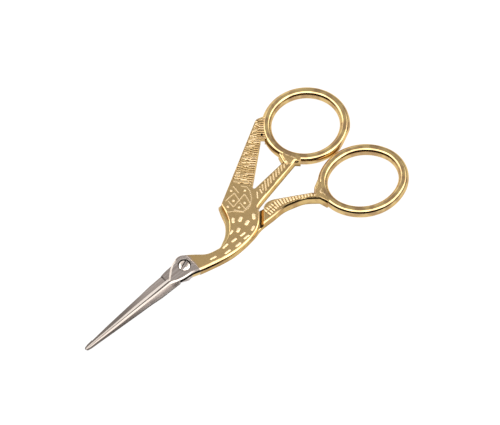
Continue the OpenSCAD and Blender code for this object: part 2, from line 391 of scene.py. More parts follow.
# Wraps a socket so that sums on shader values read as sums
class Sock:
    def __init__(self, maker, socket):
        self.maker, self.socket = maker, socket

    def sum(self, operation, *values):
        return self.maker.node("ShaderNodeMath", {"operation": operation}, *values)

    def __add__(self, other): return self.sum("ADD", self, other)
    def __sub__(self, other): return self.sum("SUBTRACT", self, other)
    def __rsub__(self, other): return self.sum("SUBTRACT", other, self)
    def __mul__(self, other): return self.sum("MULTIPLY", self, other)
    __radd__, __rmul__ = __add__, __mul__


class Maker:
    def __init__(self, name, owner=None):
        self.owner = owner or bpy.data.materials.new(name)
        self.owner.use_nodes = True
        self.tree = self.owner.node_tree

    def plug(self, socket, value):
        if isinstance(value, Sock):
            self.tree.links.new(value.socket, socket)
        else:
            socket.default_value = value

    def node(self, kind, settings=None, *values, out=0, **named):
        made = self.tree.nodes.new(kind)
        for key, value in (settings or {}).items():
            setattr(made, key, value)
        for i, value in enumerate(values):
            self.plug(made.inputs[i], value)
        for key, value in named.items():
            self.plug(made.inputs[key.replace("_", " ")], value)
        return Sock(self, made.outputs[out])

    def places(self):
        return self.node("ShaderNodeTexCoord", out=3)

    # Object coordinates in millimetres, one Sock for each axis
    def axes(self):
        split = self.tree.nodes.new("ShaderNodeSeparateXYZ")
        self.plug(split.inputs[0], self.places())
        return [Sock(self, s) * 1000 for s in split.outputs]

    def noise(self, scale, detail, stretch=(1, 1, 1)):
        at = self.node("ShaderNodeMapping", None, self.places(), Scale=stretch)
        return self.node("ShaderNodeTexNoise", None, Vector=at, Scale=scale, Detail=detail)

    def within(self, value, low, high):
        smooth = {"interpolation_type": "SMOOTHSTEP"}
        return self.node("ShaderNodeMapRange", smooth, value, low, high, 0.0, 1.0)

    def blend(self, amount, a, b):
        made = self.tree.nodes.new("ShaderNodeMix")
        made.data_type = "RGBA"
        for i, value in ((0, amount), (6, a), (7, b)):
            self.plug(made.inputs[i], value)
        return Sock(self, made.outputs[2])

    def bump(self, height, strength):
        return self.node("ShaderNodeBump", None, Strength=strength, Distance=bumpDepth,
                         Height=height)

    def finish(self, **values):
        for key, value in values.items():
            self.plug(self.tree.nodes["Principled BSDF"].inputs[key.replace("_", " ")], value)
        return self.owner


bumpDepth = 0.00002  # metres

gilding = {
    # the matt ground, its ornament with a painted highlight, and its grooves with painted shade
    "ground": (0.455, 0.32, 0.15, 1), "groundDeep": (0.36, 0.24, 0.10, 1), "groundRough": 0.40,
    "raised": (0.82, 0.65, 0.42, 1), "grooveShade": (0.20, 0.115, 0.045, 1), "raisedRough": 0.55,
    # polished walls and rings, painted shade that browns the walls towards the foot, and the tint
    # of glancing reflections
    "polish": (0.66, 0.48, 0.22, 1), "polishWarm": (0.44, 0.29, 0.15, 1), "polishRough": 0.09,
    "polishFootShade": (0.34, 0.23, 0.07, 1), "polishDeepShade": (0.10, 0.05, 0.015, 1),
    "glance": (1, 0.80, 0.52, 1),
    # black painted shade under rims and in lines and spots, brown where it fades, and painted
    # shadow in the gap before the shank's end with a warm painted reflection beside it
    "paintedShade": (0.008, 0.005, 0.002, 1), "paintedShadeBrown": (0.14, 0.06, 0.015, 1),
    "gap": (0.05, 0.025, 0.008, 1), "gapWarm": (0.78, 0.32, 0.05, 1),
    # where it begins beside the steel, and a black spot of painted shade where the leg meets the
    # ring
    "begins": (2.3, 3.0), "paintedShadeSpot": (48.7, 3.9, 2.8), "spotSize": (0.5, 0.9),
    # how fine each pattern is, in waves to a metre
    "grain": 5200, "cloud": 420, "warmth": 300, "wear": 2600, "paintedShadeWear": 1500, "gapWear": 1200,
}
steel = {
    # each colour has a lighter and a darker streak
    "flat": (0.44, 0.39, 0.365, 1), "flatDark": (0.33, 0.275, 0.25, 1),
    "face": (0.50, 0.445, 0.415, 1), "faceDark": (0.38, 0.32, 0.29, 1),
    "bevel": (0.42, 0.38, 0.35, 1), "bevelDark": (0.33, 0.29, 0.265, 1),
    # painted highlight: the next two are brighter copies of the polished steel, for bright rims,
    # the screw and the band beside the blade's edge
    "light": (0.86, 0.78, 0.71, 1), "lightDark": (0.70, 0.60, 0.53, 1),
    "band": (0.80, 0.73, 0.67, 1), "bandDark": (0.66, 0.58, 0.52, 1),
    # painted shade: a darker copy of the polished steel, for the band beyond the blade's ridge
    "ground": (0.30, 0.27, 0.245, 1), "groundDark": (0.23, 0.20, 0.18, 1),
    # the tip's darker tone; dark painted shade on the blades' ridges, backs and ends; black painted
    # shade in the bore, the notch, on the screw's walls and beside its slot, and under the rim near
    # the screw
    "tip": (0.235, 0.20, 0.18, 1), "edge": (0.13, 0.11, 0.10, 1), "paintedShade": (0.008, 0.007, 0.006, 1),
    "flatRough": 0.34, "bevelRough": 0.14,
    # between which places the blades darken, and where the lower half's gilding begins
    "dark": (15.0, 26.0), "giltFrom": (-0.4, 0.4),
    # how fine the streaks and the brushing are, and how far each is drawn out along the blade
    "streak": (900, 3, (0.05, 1.6, 1.6)), "fine": (4200, 2, (0.06, 1.5, 1.5)),
}


# Matt gilding with ornament painted bright as a highlight and grooves painted dark as shade, told
# apart by how far the surface is raised
def mattGilt():
    m, g = Maker("mattGilt"), gilding
    x, y, z = m.axes()
    relief = m.node("ShaderNodeAttribute", {"attribute_name": "relief"}, out=2)
    grain, cloud = m.noise(g["grain"], 3), m.noise(g["cloud"], 2)
    high, deep = m.within(relief, 0.1, 0.5), m.within(0 - relief, 0.05, 0.7)
    ground = m.blend(m.within(grain * 0.5 + cloud * 0.5, 0.3, 0.7), g["groundDeep"], g["ground"])
    ground = m.blend(0.6, ground, g["ground"])
    rough = g["groundRough"] - high * (g["groundRough"] - g["raisedRough"]) + (grain - 0.5) * 0.12
    colour = m.blend(deep, m.blend(high, ground, g["raised"]), g["grooveShade"])
    begins = m.within(x - 0.08 * y + (cloud - 0.5) * 2, *g["begins"])
    return m.finish(Base_Color=m.blend(begins, steel["flatDark"], colour), Metallic=1.0,
                    Roughness=rough, Normal=m.bump(grain, 0.12))


# Polished gilding. A body's is steel beside the blade, turned brown towards the foot by painted
# shade, most under the leg, and black with painted shade in a line along the shank's lower wall and
# in a spot beside the ring
def brightGilt(name, body):
    m, g = Maker(name), gilding
    x, y, z = m.axes()
    cloud, wear = m.noise(g["warmth"], 3), m.noise(g["wear"], 3)
    colour = m.blend(m.within(cloud, 0.40, 0.62), g["polish"], g["polishWarm"])
    spot = 0.0
    if body:
        # painted shade: darker and browner towards the foot, most under the leg
        leg = m.within(x, 28, 30) * m.within(y, -1.0, 0.5)
        foot, deep = (1 - m.within(z + wear * 0.4, 0.4, upTo) for upTo in (2.4, 1.1))
        colour = m.blend(foot * (0.25 + 0.6 * leg), colour, g["polishFootShade"])
        colour = m.blend(deep * (0.35 + 0.55 * leg), colour, g["polishDeepShade"])
        # a line of black painted shade along the shank's lower wall
        bend = x.sum("MAXIMUM", x - 36.5, 0.0)
        line = m.within(z + (wear - 0.5) * 0.2, 2.88, 3.02) * m.within(x, 31, 36)
        line = line * (1 - m.within(y + bend * 0.5, -4.6, -4.2))
        colour = m.blend(line, colour, g["paintedShade"])
        colour = m.blend(m.within(x, *g["begins"]), steel["bevel"], colour)
        # a black spot of painted shade beside the ring
        place = m.node("ShaderNodeCombineXYZ", None, x, y, z)
        distance = {"operation": "DISTANCE"}
        away = m.node("ShaderNodeVectorMath", distance, place, g["paintedShadeSpot"], out=1)
        spot = 1 - m.within(away, *g["spotSize"])
        colour = m.blend(spot, colour, g["paintedShade"])
    return m.finish(Base_Color=colour, Metallic=1 - spot, Roughness=g["polishRough"] + wear * 0.06,
                    Specular_IOR_Level=0.0, Specular_Tint=g["glance"], Normal=m.bump(wear, 0.05))


# Walls near the screw: painted shade under the rim, black near the screw and brown further along
def seamGilt():
    m, g = Maker("seamGilt"), gilding
    x, y, z = m.axes()
    wear = m.noise(g["paintedShadeWear"], 3)
    foot = 1.33 + 0.07 * x + (wear - 0.5) * 0.2
    dark = m.within(z - foot, -0.08, 0.14) * (1 - m.within(x, 12, 20))
    brown = m.within(x, 6, 14)
    shade = m.blend(brown, g["paintedShade"], g["paintedShadeBrown"])
    return m.finish(Base_Color=m.blend(dark, g["polish"], shade), Metallic=1 - dark * (1 - brown),
                    Roughness=g["polishRough"] + wear * 0.06,
                    Specular_IOR_Level=0.0, Specular_Tint=g["glance"])


# The ledge under the body: painted shadow in the narrow gap before the shank's end, and a warm
# painted reflection beside that end
def gapGilt():
    m, g = Maker("gapGilt"), gilding
    x, y, z = m.axes()
    wear = m.noise(g["gapWear"], 3)
    off = 23.39 - 0.738 * x + 0.675 * y + wear * 0.4
    along = 0.675 * x + 0.738 * y - 17.26
    warm = (1 - m.within(off, 0.45, 0.7)) * m.within(along, -2.7, -2.2)
    warm = warm * (1 - m.within(along, 2.2, 2.7))
    here = m.within(x, 25.0, 25.4) * (1 - m.within(y, 1.0, 1.4)) * (1 - m.within(off, 1.05, 1.25))
    colour = m.blend(here, g["polish"], m.blend(warm, g["gap"], g["gapWarm"]))
    return m.finish(Base_Color=colour, Metallic=1.0, Roughness=0.18 + wear * 0.1)


# Brushed steel, which can be darker towards the tip or turn to gilding beside the screw
def brushedSteel(name, shade, rough, tip=False, gilt=False):
    m = Maker(name)
    x, y, z = m.axes()
    streak, fine = m.noise(*steel["streak"]), m.noise(*steel["fine"])
    colour = m.blend(m.within(streak, 0.35, 0.65), steel[shade], steel[shade + "Dark"])
    if tip:
        colour = m.blend(m.within(streak * 4 - x, *steel["dark"]), colour, steel["tip"])
    if gilt:
        colour = m.blend(m.within(x, *steel["giltFrom"]), colour, gilding["polish"])
    return m.finish(Base_Color=colour, Metallic=1.0, Roughness=steel[rough] + (fine - 0.5) * 0.16,
                    Normal=m.bump(fine, 0.08))


# The floor of the screw's slot, with black painted shade beside its walls
def slotSteel():
    m = Maker("slotSteel")
    x, y, z = m.axes()
    c, s = polar(1, screw["slotTurn"])
    across = x.sum("ABSOLUTE", y * c - x * s)
    beside = m.within(across + m.noise(2000, 2) * 0.1, 0.26, 0.42)
    return m.finish(Base_Color=m.blend(beside, steel["flat"], steel["paintedShade"]), Metallic=1.0,
                    Roughness=steel["flatRough"])


# Dark steel, used for painted shade
def darkSteel(name, colour, rough, metal):
    m = Maker(name)
    wear = m.noise(1500, 3)
    lighter = tuple(2 * c for c in colour[:3]) + (1,)
    return m.finish(Base_Color=m.blend(wear, colour, lighter), Metallic=metal,
                    Roughness=rough + wear * 0.1, Specular_IOR_Level=0.0)


giltMatt, giltPaintedShade, giltGapShadow = mattGilt(), seamGilt(), gapGilt()
giltBright, giltBody = brightGilt("brightGilt", False), brightGilt("bodyGilt", True)
# Steels: brushed and polished finishes, and brighter and darker copies of them for painted
# highlight and painted shade
steels = {
    "flat": brushedSteel("flatSteel", "flat", "flatRough"),
    "face": brushedSteel("faceSteel", "face", "flatRough", tip=True),
    "bevel": brushedSteel("bevelSteel", "bevel", "bevelRough"),
    "light": brushedSteel("lightSteel", "light", "bevelRough"),
    "band": brushedSteel("bandSteel", "band", "bevelRough"),
    "ground": brushedSteel("groundSteel", "ground", "bevelRough"),
    "under": brushedSteel("underSteel", "flat", "bevelRough", gilt=True),
    "edge": darkSteel("edgeSteel", steel["edge"], 0.25, 1.0),
    "paintedShade": darkSteel("seamSteel", steel["paintedShade"], 0.6, 0.0),
}
print("materials made")


# Finger rings: a rounded band spun round the four arcs of an oval. Round says how near the band's
# section is to an oval, and dressed where a ring's outside is flat: which way and how far out

thumbSize = {"middle": (59.6, 11.79), "long": 11.9, "wide": 11.35, "turn": -15, "up": 1.8,
             "band": 3.08, "thick": 3.58, "round": 0.9, "corners": 56, "steps": 40,
             "dressed": (-66, 12.45)}
fingerSize = {**thumbSize, "middle": (59.6, -13.78), "long": 12.3, "wide": 10.6, "turn": -23,
              "dressed": None}


def fingerHold(name, size):
    a, b = size["long"], size["wide"]
    end = b - 0.8 * (a - b)
    side = ((a - end) ** 2 + b * b - end * end) / (2 * (b - end))
    meet = math.degrees(math.atan2(side - b, a - end))
    deselectAll()
    bpy.ops.mesh.primitive_circle_add(vertices=size["corners"], radius=1, fill_type="NOTHING")
    ring = nameIt(name)
    for k, v in enumerate(ring.data.vertices):
        c, s = polar(1, 360 * k / size["corners"])
        out = math.copysign(abs(c) ** size["round"], c) * size["band"] / 2
        up = math.copysign(abs(s) ** size["round"], s) * size["thick"] / 2
        x, y = polar(end + out, -meet)
        v.co = (a - end + x, y, size["up"] + up)
    chooseAll(ring)
    for centre, turn in (((a - end, 0), 2 * meet), ((0, b - side), 180 - 2 * meet),
                         ((end - a, 0), 2 * meet), ((0, side - b), 180 - 2 * meet)):
        bpy.ops.mesh.spin(steps=size["steps"], angle=-math.radians(turn), center=(*centre, 0),
                          axis=(0, 0, 1))
    bpy.ops.mesh.select_all(action="SELECT")
    bpy.ops.mesh.remove_doubles(threshold=0.01)
    evenNormals()
    ring.rotation_euler.z = math.radians(size["turn"])
    ring.location = (*size["middle"], 0)
    pick(ring)
    bpy.ops.object.transform_apply(location=True, rotation=True, scale=True)
    if size["dressed"]:
        turn, far = size["dressed"]
        x, y = polar(far, turn)
        place = (size["middle"][0] + x, size["middle"][1] + y, 0)
        chooseAll(ring)
        bpy.ops.mesh.bisect(plane_co=place, plane_no=(*polar(1, turn), 0), use_fill=True,
                            clear_outer=True)
        objectMode()
    coat(ring, giltBright)
    return ring


finished(fingerHold("thumbRing", thumbSize), "upper_half", "thumb_ring")
finished(fingerHold("fingerRing", fingerSize), "lower_half", "finger_ring")


# The material slots of blades and hubs. One slot holds black painted shade, and on the lower half
# under steel takes its place
bladeSlots = ("flat", "bevel", "paintedShade", "face", "edge", "light", "band", "ground")


def slotOf(name):
    return bladeSlots.index(name)


def coatSteel(piece, paintedShade):
    coat(piece, *(steels[paintedShade if name == "paintedShade" else name] for name in bladeSlots))


# Blades: ground bars drawn out to the tip. A station says where the lines along the upper blade are
# seen from the camera, as if all lay on the mating face: x, edge, ridge, break, foot of the back,
# back, and then the ridge's height, the foot's height and the lower blade's back

blade = {
    "stations": [
        (-7.3, 0.76, -0.18, -1.08, -2.80, -2.98, 1.66, 0.16, 2.96),
        (-12.0, 0.82, -0.18, -1.04, -2.66, -2.88, 1.60, 0.16, 2.88),
        (-16.0, 0.80, -0.12, -0.97, -2.20, -2.45, 1.38, 0.22, 2.56),
        (-20.0, 0.80, -0.06, -0.90, -1.98, -2.24, 1.28, 0.22, 2.32),
        (-25.0, 0.68, -0.02, -0.80, -1.68, -1.90, 1.12, 0.20, 2.02),
        (-30.0, 0.56, 0.02, -0.70, -1.38, -1.57, 0.98, 0.18, 1.70),
        (-34.0, 0.50, 0.02, -0.57, -1.12, -1.28, 0.88, 0.16, 1.38),
        (-37.0, 0.44, 0.02, -0.46, -0.94, -1.09, 0.80, 0.15, 1.14),
        (-39.0, 0.38, -0.02, -0.42, -0.82, -0.96, 0.70, 0.13, 0.96),
        (-40.1, 0.28, -0.04, -0.34, -0.64, -0.76, 0.56, 0.11, 0.72),
        (-40.5, 0.15, -0.05, -0.25, -0.44, -0.54, 0.38, 0.08, 0.48)],
    # how steep the bands beside the edge and beyond the ridge are, and how far a height moves a
    # line in the photo
    "edgeSlope": 0.51, "backSlope": 0.466, "raises": 0.42,
    "ridgeWide": 0.50, "ridgeFull": 1.6,  # the ridge is that wide where it is this high
    # lean and offset turn and shift both blades, hollow sinks the lower one's face
    "edgeLean": 0.38, "lowerFoot": 0.25, "lean": 1.2, "offset": -0.26,
    "soften": 0.05, "hollow": 0.06, "backLine": 0.17, "tuck": 0.2,
    # round a blade: inner face, edge, band beside it, ridge, band beyond it, flank and back
    # the band beside the edge takes painted highlight; the ridge, the back, the ends and, away from
    # the screw, the band beyond the ridge take painted shade
    "strips": ("face", "bevel", "band", "edge", "ground", "face", "edge"),
}
# Where the upper blade's bevels run on past the screw: x, ridge y, rim y and z, wall y
hub = {
    "rail": [
        (-6.1, -1.72, -2.42, 3.09, -3.42), (-5.0, -2.28, -2.82, 3.16, -3.46),
        (-4.55, -2.44, -2.94, 3.16, -3.40), (-4.4, -2.50, -2.98, 3.16, -3.10),
        (-3.0, -2.80, -3.24, 3.12, -3.34), (-1.5, -2.95, -3.41, 3.10, -3.48),
        (0.0, -3.04, -3.53, 3.09, -3.60), (1.2, -3.38, -3.89, 3.08, -3.93),
        (2.42, -3.76, -4.32, 3.06, -4.33)],
    "shoulder": [
        (-7.35, -1.25), (-7.0, -0.75), (-6.26, -0.12), (-5.22, 0.89), (-4.32, 1.62),
        (-3.31, 2.26), (-2.14, 2.82), (-1.12, 3.21), (-0.1, 3.4), (0.92, 3.27), (1.86, 2.85),
        (2.42, 2.39)],
    # rim round the shoulder: x and width, and how steep
    "shoulderRim": [(-7.2, 0.46), (-5.0, 0.62), (-2.2, 0.50), (-1.1, 0.28), (0.2, 0.16),
                    (2.4, 0.16)],
    "steep": 0.70, "face": 3.43, "bore": 1.97, "thread": 1.0, "dish": (0.18, 0.06, 1),
    # the lower hub's outline beyond the shoulder that it shares, and its chamfers
    "lowWall": [(-0.3, -3.5), (0.52, -3.68), (1.23, -3.93), (2.42, -4.33)],
    "highWall": [(2.42, 2.39), (1.86, 2.85), (0.92, 3.27), (-0.1, 3.4), (-1.1, 3.28), (-2.6, 3.05),
                 (-4.6, 2.95), (-7.2, 2.5)],
    "underChamfer": 0.45, "faceChamfer": 0.2, "bladeChamfer": 0.3,
}


def bladeRow(x, edge, ridge, brk, foot, back, up, footUp, lowerBack, upper):
    b = blade
    half = b["ridgeWide"] / 2 * (up / b["ridgeFull"]) ** 2
    top = ridge - b["raises"] * up
    along = (edge - ridge) / (1 - b["raises"] * b["edgeSlope"])
    down = (ridge - brk) / (1 + b["raises"] * b["backSlope"])
    edgeUp = up - b["edgeSlope"] * along
    if upper:
        foot -= b["raises"] * footUp
    else:
        back, foot = -lowerBack, b["lowerFoot"] - lowerBack
    return [(x, back, 0), (x, top + along + b["edgeLean"] * edgeUp, 0), (x, top + along, edgeUp),
            (x, top + half, up), (x, top - half, up), (x, top - down, up - b["backSlope"] * down),
            (x, foot, footUp)]


def onBladeLine(p, upper):
    c, s = polar(1, blade["lean"])
    x, y, z = p if upper else (p[0], -p[1], -p[2] - blade["hollow"])
    face = mating["upper" if upper else "lower"]
    return (x * c - y * s, x * s + y * c + blade["offset"], z + face)


# Each face takes its strip's material from the nearest stretch between two stations
def groundBlade(name, upper):
    rows = [[onBladeLine(p, upper) for p in bladeRow(*station, upper)]
            for station in blade["stations"][::-1]]
    if upper:
        low, face = mating["upper"], hub["face"]
        for x, ridge, rimY, rimUp, wall in hub["rail"]:
            rows.append([(x, wall, low), (x, 0.1, low), (x, 0.1, 2.2), (x, ridge + 0.004, face),
                         (x, ridge, face), (x, rimY, rimUp), (x, wall, 2.35 if x < -4.5 else 2.0)])
    else:  # runs on inside the hub, a little lower
        rows.append([(x + 0.3, y, max(z - blade["tuck"], 0.02)) for x, y, z in rows[-1]])
        rows.append([(-3.0, y, z) for x, y, z in rows[-1]])
    bar = drawnOut(name, rows)
    spots = []
    for row, after in zip(rows, rows[1:]):
        for k in range(7):
            around = [Vector(p) for p in (row[k], row[k - 6], after[k], after[k - 6])]
            spots.append((sum(around, Vector()) / 4, blade["strips"][k]))
    coatSteel(bar, "paintedShade" if upper else "under")
    for f in bar.data.polygons:
        near = min(spots, key=lambda spot: (spot[0] - f.center).length)[1]
        strip = near if len(f.vertices) == 4 else "edge"
        f.material_index = slotOf("bevel" if strip == "ground" and f.center.x > -7 else strip)
    return bar


def softened(bar):
    def lengthwise(a, b, normals):
        return len(normals) == 2 and abs(a.x - b.x) > 0.32

    def backLine(a, b, normals):
        level = mating["lower"] - blade["hollow"]
        return (lengthwise(a, b, normals) and min(a.y, b.y) > 0.05
                and abs(a.z - level) < 0.01 and abs(b.z - level) < 0.01)

    def corner(a, b, normals):
        return (lengthwise(a, b, normals) and normals[0].dot(normals[1]) < 0.985
                and max(a.x, b.x) < -4.42 and max(abs(a.z - 1.8), abs(b.z - 1.8)) > 0.1)

    if bar.name == "lowerBar":
        chamfer(bar, blade["backLine"], backLine)
    chamfer(bar, blade["soften"], corner, 2)
    return bar


# A smooth line through points
def through(points, steps=4):
    made, last = [], len(points) - 1
    for i in range(last):
        near = [points[min(max(i + k, 0), last)] for k in (-1, 0, 1, 2)]
        p0, p1, p2, p3 = (np.array(p, float) for p in near)
        for k in range(steps):
            t = k / steps
            p = 2 * p1 + (p2 - p0) * t + (2 * p0 - 5 * p1 + 4 * p2 - p3) * t * t
            made.append(tuple(0.5 * (p + (3 * p1 - p0 - 3 * p2 + p3) * t ** 3)))
    return made + [tuple(points[-1])]


def hubRim(x, y):
    if math.hypot(x, y) < 2.1:
        return hub["dish"]
    if x > 2.41 or y < -1.21:
        return 0, 0, 0
    wide = np.interp(x, *zip(*hub["shoulderRim"]))
    return wide, wide * hub["steep"], 1


def upperHub(name):
    inner = [(x, ridge - 0.02) for x, ridge, *rest in hub["rail"]]
    plate = slab(name, through(hub["shoulder"]) + inner[::-1], mating["upper"], hub["face"])
    drill(plate, "bore", (0, 0, 3), hub["bore"], 4, 96)
    coatSteel(plate, "paintedShade")
    for f in plate.data.polygons:
        f.material_index = slotOf("bevel")
    dressTop(plate, hub["face"], 0.5, hubRim, slotOf("bevel"), slotOf("flat"))
    # the shoulder's sloping rim takes a brighter steel, as painted highlight
    for f in plate.data.polygons:
        if 0.3 < f.normal.z < 0.98 and f.center.xy.length > 2.3:
            f.material_index = slotOf("light")
    return plate


def lowerHub(name):
    flipped = [(x, -y + 2 * blade["offset"]) for x, y in hub["shoulder"][:8]]
    face = mating["lower"]
    plate = slab(name, through(flipped)[:-1] + hub["lowWall"] + hub["highWall"], 0, face)
    chamferAt(plate, hub["underChamfer"], 0, -9, 2.43, 4)
    chamferAt(plate, hub["faceChamfer"], face, -6.8, 2.43, 2)
    drill(plate, "thread", (0, 0, 1), hub["thread"], 4, 64)
    coatSteel(plate, "under")
    chamferAt(plate, hub["bladeChamfer"], face, -9, -7.1)
    return plate


upperBlade = upperHub("upperBlade")
join(upperBlade, softened(groundBlade("upperBar", True)))
lowerBlade = lowerHub("lowerBlade")
join(lowerBlade, softened(groundBlade("lowerBar", False)))
# black painted shade on the upper blade's walls in the bore and under the rim beside the screw
for f in upperBlade.data.polygons:
    c = f.center
    inBore = c.xy.length < 2.0 and c.z < 3.3
    if abs(f.normal.z) < 0.35 and (inBore or c.y < -2.7 and c.x > -4.56):
        f.material_index = slotOf("paintedShade")
for f in lowerBlade.data.polygons:
    c = f.center
    inThread = c.xy.length < 1.1
    # walls below the mating face take the under steel, which fills that slot on the lower half
    if c.x > -7.2 and c.z < 1.9 and abs(f.normal.z) < 0.9 and not inThread:
        f.material_index = slotOf("paintedShade")
    # the blade's end chamfer takes dark painted shade
    if c.x < -6.9 and 0.3 < f.normal.z < 0.97:
        f.material_index = slotOf("edge")
finished(upperBlade, "upper_half", "upper_blade")
finished(lowerBlade, "lower_half", "lower_blade")


# Screw: turned from a thin disc upwards, then slotted

screw = {
    # radius and height of each turned step up to the rim, then the dome's
    "steps": [(0.9, 0.02), (0.94, 0.08), (0.94, 1.78), (1.22, 1.8), (1.22, 2.2), (1.72, 2.5),
              (1.76, 2.56), (1.76, 3.15)],
    "rim": 1.76, "domeRadius": 3.74, "domeTop": 3.59, "domeSteps": 9, "corners": 96,
    "top": 3.6, "slotWide": 0.98, "slotDeep": 0.50, "slotTurn": 20, "soften": 0.04,
}
for k in range(1, screw["domeSteps"]):
    out = screw["rim"] * (1 - k / screw["domeSteps"])
    up = screw["domeTop"] - screw["domeRadius"] + math.sqrt(screw["domeRadius"] ** 2 - out ** 2)
    screw["steps"].append((out, up))
around = [360 * k / screw["corners"] for k in range(screw["corners"])]
turned = [[(*polar(out, turn), up) for turn in around] for out, up in screw["steps"]]
pivotScrew = drawnOut("pivotScrew", turned)
slotUp = screw["top"] - screw["slotDeep"]
mill(pivotScrew, "slotTool", (0, 0, slotUp + 1), (6, screw["slotWide"], 2),
     (0, 0, screw["slotTurn"]))
chamfer(pivotScrew, screw["soften"], lambda a, b, n: len(n) == 2 and min(a.z, b.z) > 2.7
        and n[0].dot(n[1]) < 0.6, 2)
# the screw's steel is a brighter copy, as painted highlight, and its head's and slot's walls take
# black painted shade
coat(pivotScrew, steels["light"], slotSteel(), steels["paintedShade"])
for f in pivotScrew.data.polygons:
    slotFloor = f.normal.z > 0.9 and abs(f.center.z - slotUp) < 0.02
    f.material_index = 1 if slotFloor else 2 if abs(f.normal.z) < 0.3 and f.center.z > 2.6 else 0
finished(pivotScrew, "lower_half", "pivot_screw")


# Handles start from the CAD outline, with the top lowered to leave room for the ornament

handle = {
    "top": 3.43, "step": 0.13, "shankStep": 0.11, "height": 0.16,
    # how far the ends run into the rings, and how near a ring's middle they have no rim
    "intoRing": 1.25, "nearRing": 13.95, "nearThumb": 13.7,
    # rims: width, drop, steps
    "rear": (0.28, 0.16, 1), "leg": (0.44, 0.25, 1), "front": (0.26, 0.13, 1),
    "tail": (0.14, 0.14, 2), "window": (0.14, 0.12, 2), "nape": (0.26, 0.14, 3),
    "flare": (0.75, 0.55, 5), "shankLow": (0.42, 0.24, 1), "shankTop": (0.16, 0.12, 2),
    "shankEnd": (0.34, 0.2, 1), "none": (0, 0, 0),
    # along the belly: x and width, and how steep
    "belly": [(2.4, 0.58), (8, 0.62), (14, 0.54), (20, 0.44), (26, 0.34)], "bellySteep": 0.58,
    # chamfers under the upper half, above the lower one's ledge and round the foot
    "under": 0.1, "ledge": 0.28, "foot": 0.12,
    # where the tops rise into the rings: place and reach, how far out from the ring's middle the
    # rise begins, over what length it would be full, and its most
    "legMeets": (49.4, 4.6, 4.5), "shankMeets": (48.0, -10.0, 4.0),
    "riseFrom": 15.2, "riseOver": 2.4, "riseMost": 0.75,
    # the notch between tail and ring, and the tool that hollows the web there from below
    "notch": (47.15, 17.65, 3.4), "notchRadius": 0.42,
    "web": (46.37, 16.37, 0), "webSize": (1.28, 2.9, 2.9), "webTurns": (45, 0, -41.8),
}


# How far the top has risen where it runs into a ring, near one place
def intoCrest(x, y, size, at):
    far = np.hypot(x - size["middle"][0], y - size["middle"][1])
    risen = np.clip((handle["riseFrom"] - far) / handle["riseOver"], 0, handle["riseMost"])
    return risen * (np.hypot(x - at[0], y - at[1]) < at[2])


def fromMiddle(x, y, size):
    return math.hypot(x - size["middle"][0], y - size["middle"][1])


def intoRing(piece, middle):
    def facing(c, n):
        way = Vector((middle[0] - c.x, middle[1] - c.y, 0))
        return abs(n.z) < 0.1 and way.length < 14.6 and n.dot(way.normalized()) > 0.7
    choose(piece, "FACE", facing)
    bpy.ops.mesh.extrude_region_move(TRANSFORM_OT_translate={"value": (0, 0, 0)})
    objectMode()
    for v in piece.data.vertices:
        if v.select:
            way = Vector((middle[0] - v.co.x, middle[1] - v.co.y, 0)).normalized()
            v.co += way * handle["intoRing"]


def lowerTop(piece):
    for v in piece.data.vertices:
        if v.co.z > 3.59:
            v.co.z = handle["top"]


def upperRim(x, y):
    if x < 2.43 or fromMiddle(x, y, thumbSize) < handle["nearThumb"]:
        return handle["none"]
    if y > 7.8 + 0.542 * (x - 22.2):
        return handle["tail"]
    if math.hypot(x - 46.8, y - 17.2) < 1.2:  # the notch and the window's end
        return handle["none"]
    if x > 32.7 and y > 5.2:
        return handle["flare"] if x > 45.2 else handle["window"]
    if x > 29.5:
        return handle["leg"]
    if x > 25.9 and y > -4:
        return handle["rear"]
    if y < -4:
        wide = np.interp(x, *zip(*handle["belly"]))
        return wide, wide * handle["bellySteep"], 1
    return handle["front"] if x > 13 else handle["nape"]


# An extra corner on the end that meets the blade, where the rim's inner line starts
def splitEnd(piece):
    choose(piece, "FACE", lambda c, n: n.x < -0.99 and abs(c.x - plating) < 0.01)
    bpy.ops.mesh.bisect(plane_co=(0, -4.33 + handle["belly"][0][1], 0), plane_no=(0, 1, 0))
    objectMode()


upperHandle = fromNode("upper_handle", "upperHandle")
lowerTop(upperHandle)
intoRing(upperHandle, thumbSize["middle"])
splitEnd(upperHandle)
chamferAt(upperHandle, handle["under"], mating["upper"], 2.43, 99)
chamferAt(upperHandle, handle["foot"], 0, 2.43, 50.6, 3)
drill(upperHandle, "notch", handle["notch"], handle["notchRadius"], 2, 20)
mill(upperHandle, "webTool", handle["web"], handle["webSize"], handle["webTurns"])

